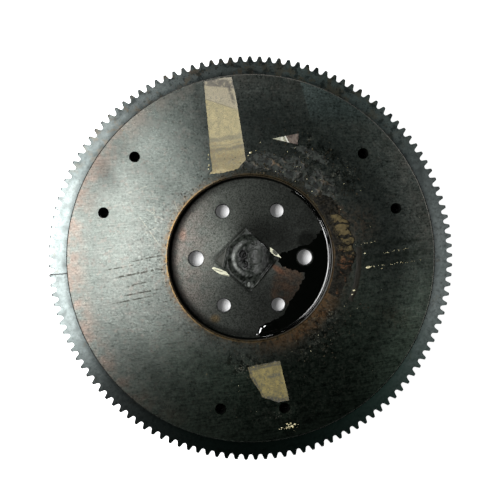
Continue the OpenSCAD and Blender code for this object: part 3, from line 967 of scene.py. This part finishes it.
# x, y and the roughness of the edge that starts there
SHEET_CORNERS = [(-30, -1.5, 0.25), (0.5, -27.5, 0.2), (22, -1, 0.3), (-3.5, 25, 0.2)]
SHEET_THICKNESS = 0.35
CREAM_THICKNESS = 0.28
BORE_R = 6.3
BORE_SAG = 1.6
SUPPORT_MARGIN = 0.1
SUPPORT_GAP = 0.08
FOLD_FOOT = (-8.5, -20.2)


def support_height(x, y):
    """What the sheet lies on: the web, the bearing or the dowel."""
    r = math.hypot(x, y)
    if r < BORE_R:
        return BEARING_Z - BORE_SAG
    if r < BEARING_R + SUPPORT_MARGIN:
        return BEARING_Z
    if math.hypot(x - DOWEL[0], y - DOWEL[1]) < DOWEL_R + SUPPORT_MARGIN:
        return DOWEL_Z
    return WEB_Z


def sheet_top(x, y, distance):
    """Height of the sheet, pressed over the bearing and the dowel, with folds and raised edges."""
    r = math.hypot(x, y)
    angle = math.atan2(y, x)

    # the ring that the bearing lifts, sunk over the bore at the left of a lump, with two pits
    rise = BEARING_Z - WEB_Z
    ring = rise + 1.15 + (0.30 * math.sin(3 * angle + 1) + 0.45 * wobble(x, y, 6, 7)) * smooth(10, 0, x)
    waver = 1.1 * wobble(x, y, 8, 9)
    foot = 20.8 + 3.0 * smooth(-4, 10, x) + 1.5 * wobble(x, y, 14, 1)
    height = ring * smooth(foot, 14.6, r + waver)
    lump = smooth(1.0, 0.84, math.hypot((x - 3.6) / 6.3, (y - 1.0) / 6.8) + 0.06 * wobble(x, y, 3, 8))
    height -= 0.95 * smooth(12.8, 10.9, r + 0.7 * waver) * smooth(9, -3, x) * (1 - lump)
    height += 0.18 * lump
    height -= 1.2 * smooth(1.0, 0.35, math.hypot((x + 6.2) / 3.4, (y - 3.2) / 3.6))
    height -= 1.1 * smooth(1.0, 0.35, math.hypot((x + 4.4) / 2.6, (y + 5.0) / 3.8))

    # small creases, and the blister over the dowel
    height += 0.30 * wobble(x, y, 5.5, 2) * smooth(17, 13, r) * smooth(12, 4, x)
    height += 0.12 * wobble(x, y, 3.4, 3) + 0.04 * wobble(x, y, 1.1, 13)
    blister = smooth(4.6, 2.4, math.hypot(x - DOWEL[0], y - DOWEL[1]))
    height = max(height, (DOWEL_Z - WEB_Z + 0.55) * blister + height * (1 - blister))

    # two folds that run from the lower left edge towards the bearing, and a crease across the left corner
    from_x, from_y = x - FOLD_FOOT[0], y - FOLD_FOOT[1]
    fold = from_x * 0.70 - from_y * 0.71
    along = from_x * 0.71 + from_y * 0.70
    if -1 < along < 11:
        ends = smooth(-1, 1, along) * smooth(11, 8, along)
        height += 0.75 * ridge(fold, 0.4, 0.55) * ends
        height += 0.45 * ridge(fold, 2.6, 0.45) * ends
    c, s = direction(CREASE_ANGLE)
    crease = (x - CREASE_PLACE[0]) * c + (y - CREASE_PLACE[1]) * s
    height += 0.9 * ridge(crease, -0.9, 0.8) - 0.25 * ridge(crease, 0.9, 0.7)

    # the lower right edge stands up, the other edges lift a little
    lower_right = abs((x - 22) * 0.777 - (y + 1) * 0.63)
    height += 1.3 * smooth(2.2, 0.2, lower_right) * smooth(-30, -22, y)
    height += 0.35 * smooth(1.6, 0.0, distance)
    top = WEB_Z + SHEET_GAP + SHEET_THICKNESS + max(0.0, height)
    return max(top, support_height(x, y) + SHEET_THICKNESS + SUPPORT_GAP)


def add_cover_sheet(material):
    """The dark sheet that covers the bearing and the dowel."""
    outline = torn_outline(SHEET_CORNERS, 0.8, 1)
    piece = thin_piece(
        "cover_sheet_film", outline, 0.55, sheet_top,
        lambda x, y, d: sheet_top(x, y, d) - SHEET_THICKNESS, material,
    )
    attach(piece, "cover_sheet")
    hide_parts("bore_cover_sheet")


def add_cover_tape_ends(material):
    """The two ends of cream tape that show under the sheet."""
    left = [
        (-32.2, -8.0, 0.1), (-29.6, -10.3, 0.2), (-26.2, -12.6, 0.2), (-22, -14.3, 0.1),
        (-18.0, -15.0, 0.1), (-17.8, -14.0, 0.1), (-20.2, -11.2, 0.2), (-24.6, -9.2, 0.2),
        (-30.4, -7.1, 0.1),
    ]
    right = [(16.6, 8.6, 0.1), (16.3, 5.0, 0.1), (20.5, 1.6, 0.2), (25.6, -0.3, 0.1), (21.6, 5.0, 0.2)]

    def left_top(x, y, d):
        return WEB_Z + 1.0 + 0.7 * smooth(0, 1.8, d) + 0.25 * wobble(x, y, 3, 4)

    def right_top(x, y, d):
        return WEB_Z + 1.5 + 0.8 * smooth(1.4, 0.3, d) + 0.15 * wobble(x, y, 3, 4)

    for name, corners, top in (("left", left, left_top), ("right", right, right_top)):
        piece = thin_piece(
            f"cover_tape_{name}_end", torn_outline(corners, 0.5, 3), 0.45, top,
            lambda x, y, d, top=top: top(x, y, d) - CREAM_THICKNESS, material,
        )
        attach(piece, "cover_sheet")
        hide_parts(f"cover_tape_{name}")


# ------------------------------------------------------------------ masking tape on the friction face

# corners of the tapes: x, y and the roughness of the edge that starts there
LONG_TAPE = [
    (-36.2, 145.2, 0.2), (-35.5, 139, 0.3), (-32.5, 101.5, 0.2), (-31.5, 84.5, 0.4), (-30, 72.5, 0.5),
    (-32.5, 69.2, 0.7), (-21, 70.2, 0.8), (-9, 73.2, 0.7), (-2.5, 80.5, 0.3), (-4, 92.5, 0.2),
    (-6.5, 109, 0.2), (-10, 133, 0.25), (-13.2, 148.6, 0.4), (-24.5, 147.4, 0.4),
]
SHORT_TAPE = [
    (-3.5, -89.5, 0.5), (-1.5, -97.5, 0.4), (6.5, -110, 0.3), (8, -114, 0.5), (21.5, -118.6, 0.6),
    (26.5, -117.2, 0.4), (30.2, -117, 0.2), (26.5, -100.5, 0.2), (23, -84.5, 0.6), (9.5, -86.6, 0.7),
]
SCRAP_TAPE = [(19.5, 97.5, 0.1), (40, 92.5, 0.4), (41, 101.5, 0.3)]
LONG_TAPE_RIDGES = (96.5, 88, 139)
TAPE_THICKNESS = 0.22
FACE_GAP = 0.02
WAX_GAP = 0.01
POOL_GAP = 0.005


def lying_tape(lift):
    """Height of tape that lies on the friction face, raised by lift(x, y, edge distance)."""

    def top(x, y, d):
        ripple = 0.05 * (1 + wobble(x, y, 6, 8)) + 0.03 * (1 + wobble(x, y, 1.5, 9))
        return FACE_Z + TAPE_THICKNESS + ripple + max(0.0, lift(x, y, d))

    return top


def long_tape_lift(x, y, d):
    curl = 0.5 * smooth(77, 70, y) * (0.6 + 0.5 * wobble(x, y, 5, 11))
    edge = 0.10 * smooth(1.2, 0, d)
    ridges = sum(0.18 * ridge(y - 0.15 * x, centre, 1.1) for centre in LONG_TAPE_RIDGES)
    return curl + edge + ridges


def short_tape_lift(x, y, d):
    return 0.22 * smooth(-93, -87, y) * (0.5 + wobble(x, y, 4, 12)) + 0.12 * smooth(1.5, 0, d)


def scrap_tape_lift(x, y, d):
    fold = (x - 28.5) * 0.9 + (y - 97) * 0.3
    return 0.55 * ridge(fold, 0, 1.3) + 0.15 * smooth(34, 41, x)


def add_face_tapes(materials):
    """Three pieces of masking tape on the friction face."""
    tapes = (
        ("long", LONG_TAPE, long_tape_lift, 1.1),
        ("short", SHORT_TAPE, short_tape_lift, 0.9),
        ("scrap", SCRAP_TAPE, scrap_tape_lift, 0.6),
    )
    for name, corners, lift, spacing in tapes:
        top = lying_tape(lift)
        piece = thin_piece(
            f"tape_{name}_torn", torn_outline(corners, 0.8, 5), spacing, top,
            lambda x, y, d, top=top: max(FACE_Z + FACE_GAP, top(x, y, d) - TAPE_THICKNESS),
            materials[name],
        )
        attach(piece, "flywheel")
        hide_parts(f"face_tape_{name}")


# ------------------------------------------------------------------ grease, oil and crumbs


def polar_point(r, degrees):
    """A point from its radius and its angle."""
    c, s = direction(degrees)
    return r * c, r * s


def under_wax(x, y, d):
    """Underside of wax that lies on the friction face."""
    return FACE_Z + WAX_GAP


def ring_part(outer, inner, angles):
    """Corners round a part of a ring, from the radii outer(degrees) and inner(degrees)."""
    corners = [polar_point(outer(a), a) for a in angles]
    return corners + [polar_point(inner(a), a) for a in reversed(angles)]


def add_wax_cakes(material):
    """A crust of dried wax on the friction face, right of the recess, broken into cakes."""
    corners = ring_part(
        lambda a: 86.0 + 3.4 * wobble(a, 0, 7, 20) - 0.006 * (a - 8) ** 2,
        lambda a: 69.3 + 0.8 * wobble(a, 9, 8, 21),
        range(-25, 44),
    )

    def top(x, y, d):
        r, arc = math.hypot(x, y), math.atan2(y, x) * 76
        bent = arc + 0.30 * (r - 76) + 5.2 * wobble(x, y, 19, 24) + 1.3 * wobble(x, y, 4, 28)
        crack = abs((bent / 8.2) % 1 - 0.5) * 2
        wide = 0.26 + 0.24 * smooth(8, -20, y) + 0.12 * wobble(x, y, 11, 29)
        cake = smooth(0.10, wide + 0.14, crack + 0.16 * wobble(x, y, 3, 25))
        lower = smooth(5, -25, y)
        cake *= smooth(-0.95 + 0.6 * lower, -0.2 + 0.4 * lower, wobble(x, y, 7, 22))
        skin = 0.07 * wobble(x, y, 1.6, 23) * smooth(0, 2, d)
        return FACE_Z + 0.06 + 0.45 * cake * smooth(0, 1.6, d) + skin

    outline = torn_outline([(x, y, 0.5) for x, y in corners], 0.8, 27)
    piece = thin_piece("wax_cakes", outline, 0.75, top, under_wax, material)
    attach(piece, "flywheel")


# outlines of the three parts of the crumpled film
CRUMPLED = [
    [(-7, 74), (-5, 79), (6, 86), (16, 87), (27, 82), (38, 83), (47, 78), (49, 70), (43, 62), (33, 64),
     (20, 70.5), (6, 72.8)],
    [(45, 57), (50, 66), (54, 73), (63, 70), (70, 60), (74, 50), (68, 45), (58, 48), (51, 52)],
    [(34, 90), (44, 92), (55, 87), (66, 78), (64, 75), (52, 80), (42, 87)],
]


def add_crumpled_film(material):
    """A film of half-dry wax that lies crumpled on the friction face above the recess."""

    def top(x, y, d):
        warp = 4 * wobble(x, y, 12, 41)
        folds = 1 - abs(math.sin((x * 0.42 + y * 0.90 + warp) / 2.3))
        cross = 1 - abs(math.sin((x * 0.85 - y * 0.50 + 1.5 * warp) / 6.5))
        height = 0.60 * folds ** 3 + 0.55 * cross ** 9 + 0.16 * wobble(x, y, 3.2, 42)
        ragged = smooth(0, 1.0, d) * smooth(-0.45, -0.15, wobble(x, y, 7, 45) + 0.12 * d - 0.2)
        return FACE_Z + 0.03 + max(0.0, min(0.85, height)) * ragged

    for number, corners in enumerate(CRUMPLED):
        outline = torn_outline([(x, y, 2.4) for x, y in corners], 0.9, 40 + number)
        piece = thin_piece(f"crumpled_wax_film_{number + 1}", outline, 0.8, top, under_wax, material)
        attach(piece, "flywheel")


def add_wax_strap(material):
    """A black, shiny strap of wax that curves round the outside of the cakes."""
    corners = ring_part(
        lambda a: 91.2 + 0.7 * wobble(a, 3, 6, 43),
        lambda a: 87.0 + 0.6 * wobble(a, 5, 6, 44),
        range(-24, 6),
    )

    def top(x, y, d):
        return FACE_Z + 0.05 + (0.22 + 0.12 * wobble(x, y, 1.8, 47)) * smooth(0, 1.3, d)

    outline = torn_outline([(x, y, 0.4) for x, y in corners], 0.7, 46)
    piece = thin_piece("wax_strap", outline, 0.7, top, under_wax, material)
    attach(piece, "flywheel")


# count, radii from and to, angles from and to, and the largest size
CRUMB_RINGS = [
    (260, 69.5, 116, 30, 85, 2.4), (130, 69.5, 84, 80, 140, 1.8), (200, 69.5, 108, -88, -22, 1.9),
    (160, 69.5, 82, 140, 272, 1.3), (80, 96, 132, 225, 290, 1.5),
]
FLAKE_RINGS = [(26, 70, 100, 30, 85, 1.1), (18, 72, 96, -70, -20, 1.0), (40, 72, 147, 0, 360, 0.7)]

# start, end and count of each smeared streak
FLAKE_STREAKS = [((94.6, -9), (143, -3.2), 40), ((108, 2.4), (130, 6), 18), ((84, 9), (104, 12), 7)]

# middles of a heap of flakes and a heap of crumbs
FLAKE_HEAP = (30.5, -138.4)
FLAKE_HEAP_COUNT = 34
CRUMB_HEAP = (58, -60)
CRUMB_HEAP_COUNT = 26

# x, y and size of single flakes, lying along x, and of bright bits beside the long tape, lying along y,
# which are painted highlights
LONE_FLAKES = [
    (84.5, -27.7, 3.4), (83, -31, 2.2), (93.9, 2.5, 2.0), (96.5, -8.9, 4.2), (107.7, -10, 1.6),
    (-28.5, 112, 1.2), (1.5, 86.5, 3.0), (-0.5, 84, 1.6), (6, 88, 1.4), (-103, 106, 1.4),
]
# bright bits beside the left edge of the long tape: painted highlights for glints off that edge
TAPE_EDGE_GLINTS = [(-33.2, 85, 2.0), (-33.4, 81.5, 1.2), (-32.8, 76.4, 2.4), (-33.2, 73.4, 1.6)]


def scatter(rng, ring):
    """Crumbs spread over a part of a ring, more of them towards its inside."""
    count, r_low, r_high, a_low, a_high, size = ring
    places = []
    for _ in range(count):
        r = r_low + (r_high - r_low) * rng.random() ** 1.4
        x, y = polar_point(r, rng.uniform(a_low, a_high))
        length = size * rng.uniform(0.3, 1.0) ** 1.5
        turn = rng.uniform(0, math.pi)
        places.append((x, y, FACE_Z, length, length * rng.uniform(0.35, 0.9), length * 0.3, turn))
    return places


def add_crumbs(brown, gold):
    """Crumbs of wax, thickest round the recess, gold flakes in streaks and in spots, and painted
    highlights beside the long tape.
    """
    rng = random.Random(11)
    crumbs, flakes = [], []
    for ring in CRUMB_RINGS:
        crumbs += scatter(rng, ring)
    for ring in FLAKE_RINGS:
        flakes += scatter(rng, ring)
    for (x0, y0), (x1, y1), count in FLAKE_STREAKS:
        for _ in range(count):
            t = rng.random()
            x = x0 + (x1 - x0) * t
            y = y0 + (y1 - y0) * t + rng.uniform(-0.6, 0.6)
            flakes.append((x, y, FACE_Z, rng.uniform(0.4, 1.7) * (1.15 - 0.5 * t), 0.38, 0.2, 0.12))
    for _ in range(FLAKE_HEAP_COUNT):
        dx, dy = rng.gauss(0, 3.2), rng.gauss(0, 1.3)
        size = rng.uniform(0.4, 1.9)
        x, y = FLAKE_HEAP[0] + dx, FLAKE_HEAP[1] + 0.2 * dx + dy
        flakes.append((x, y, FACE_Z, size, size * 0.8, 0.3, rng.uniform(-0.4, 0.8)))
    for _ in range(CRUMB_HEAP_COUNT):
        x, y = rng.gauss(CRUMB_HEAP[0], 8), rng.gauss(CRUMB_HEAP[1], 7)
        size = rng.uniform(0.5, 1.9)
        if math.hypot(x, y) > RECESS_R + 3:
            crumbs.append((x, y, FACE_Z, size * 1.6, size * 0.5, 0.35, rng.uniform(0, 3)))
    flakes += [(x, y, FACE_Z, size, size * 0.5, 0.4, 0.3) for x, y, size in LONE_FLAKES]
    # the bright bits beside the long tape are painted highlights, not flakes
    flakes += [(x, y, FACE_Z, size * 0.6, size, 0.4, 0.0) for x, y, size in TAPE_EDGE_GLINTS]
    clouds = (("wax_crumbs", crumbs, brown, 12), ("gold_flakes_and_glints", flakes, gold, 13))
    for name, places, material, seed in clouds:
        piece = crumb_cloud(name, places, material, seed)
        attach(piece, "flywheel")


# free edge of the oil pool, and the hole that it goes round
POOL_EDGE = [
    (58.5, 22), (54.0, 15.1), (47.3, 9.9), (37, 7.5), (25.6, 3.8), (22.6, -3), (30, -9), (43.7, -12.5),
    (45.0, -16.5), (40.5, -25), (35.0, -33), (30.8, -40.5), (25.6, -48.5), (12.8, -54.3), (6.4, -58.6),
    (3.9, -64.9),
]
POOL_R = 64.6
POOL_SPACING = 1.2
HOLE_PLACE = (45.25, 0)
HOLE_R = 7.2
HOLE_SIDES = 40
BEAD_RADII = [64.3, 64.9, 65.2, 65.4, 65.6, 65.8, 66.0, 66.2, 66.5]

# radius and height over the web of the back of the bead
BEAD_BACK = [(66.5, 0.36), (65.2, 0.02), (64.3, 0.02)]


def add_oil_pool(material):
    """Black oil lying on the right of the recess floor, up to its wall."""
    wall = [polar_point(POOL_R, a) for a in range(-86, 21, 2)]
    edge = torn_outline([(x, y, 1.7) for x, y in POOL_EDGE], POOL_SPACING, 31)
    closing = max(1, round(math.dist(POOL_EDGE[-1], POOL_EDGE[0]) / POOL_SPACING))
    outline = wall + edge[:-closing]
    turns = [2 * math.pi * k / HOLE_SIDES for k in range(HOLE_SIDES)]
    hole = [(HOLE_PLACE[0] + HOLE_R * math.cos(a), HOLE_PLACE[1] + HOLE_R * math.sin(a)) for a in turns]

    def top(x, y, d):
        bead = 0.8 * smooth(15, 10, math.hypot(x - 8, y + 60)) * math.sqrt(smooth(0, 1.6, d))
        return WEB_Z + 0.03 + 0.05 * smooth(0, 4, d) + bead

    piece = thin_piece("oil_pool", outline, 1.3, top, lambda x, y, d: WEB_Z + POOL_GAP, material, [hole])
    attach(piece, "flywheel")


def add_oil_bead(material):
    """Oil that climbs the foot of the recess wall at the right and shines there."""
    angles = list(range(-84, 59, 2))
    verts, faces = [], []
    for number, degrees in enumerate(angles):
        end = smooth(0, 6, min(number, len(angles) - 1 - number))
        start_r = 65.05 + 0.25 * wobble(degrees, 0, 11, 33)
        for r in BEAD_RADII:
            climb = max(0.0, r - start_r)
            x, y = polar_point(r, degrees)
            verts.append((x, y, WEB_Z + 0.12 + (0.10 + 0.75 * end) * climb ** 2))
        for r, height in BEAD_BACK:
            x, y = polar_point(r, degrees)
            verts.append((x, y, WEB_Z + height))
    ring = len(BEAD_RADII) + len(BEAD_BACK)
    for number in range(len(angles) - 1):
        for k in range(ring):
            a, b = number * ring + k, number * ring + (k + 1) % ring
            faces.append((b, b + ring, a + ring, a))
    last = (len(angles) - 1) * ring
    faces += [tuple(reversed(range(ring))), tuple(last + k for k in range(ring))]
    piece = mesh_object("oil_bead", verts, faces, material, {len(faces) - 2, len(faces) - 1})
    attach(piece, "flywheel")


# ------------------------------------------------------------------ the whole scene


def add_floor():
    mesh = bpy.data.meshes.new("floor")
    corners = [(x * FLOOR_HALF, y * FLOOR_HALF, 0) for x, y in ((-1, -1), (1, -1), (1, 1), (-1, 1))]
    mesh.from_pydata(corners, [], [(0, 1, 2, 3)])
    floor = bpy.data.objects.new("floor", mesh)
    bpy.context.scene.collection.objects.link(floor)
    mesh.materials.append(floor_white())


def paint_cad_nodes():
    """Puts a material on every CAD node that stays in sight."""
    bearing = plain_steel("bearing_steel", (0.42, 0.43, 0.44), (0.60, 0.60, 0.60), 0.25)
    paints = {
        "flywheel_body": coated_iron(),
        "ring_gear": gear_steel(),
        "crank_dowel": plain_steel("dowel_steel", (0.20, 0.20, 0.19), (0.36, 0.35, 0.33), 0.35),
        "pilot_bearing_outer_ring": bearing,
        "pilot_bearing_inner_ring": bearing,
        "pilot_bearing_balls": plain_steel("ball_steel", (0.62, 0.63, 0.65), (0.78, 0.78, 0.80), 0.10),
        "pilot_bearing_cage": cage_polymer(),
        "pilot_bearing_front_seal": seal_rubber(),
        "pilot_bearing_rear_seal": seal_rubber(),
    }
    for node, paint in paints.items():
        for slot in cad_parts[node].material_slots:
            slot.material = paint


add_camera()
add_area_light("key", KEY_PLACE, KEY_SIZE, KEY_POWER)
add_area_light("fill", FILL_PLACE, FILL_SIZE, FILL_POWER, FILL_COLOUR)
add_world()
add_floor()
paint_cad_nodes()
add_cover_sheet(sheet_film())
add_cover_tape_ends(cream_paper())
add_face_tapes({"long": long_tape_paper(), "short": short_tape_paper(), "scrap": scrap_paper()})
add_wax_cakes(dried_wax())
add_crumpled_film(crumpled_film())
add_wax_strap(strap_wax())
add_crumbs(brown_crumb(), gold_flake())
oil = black_oil()
add_oil_pool(oil)
add_oil_bead(oil)
bpy.context.scene.view_settings.view_transform = "Standard"
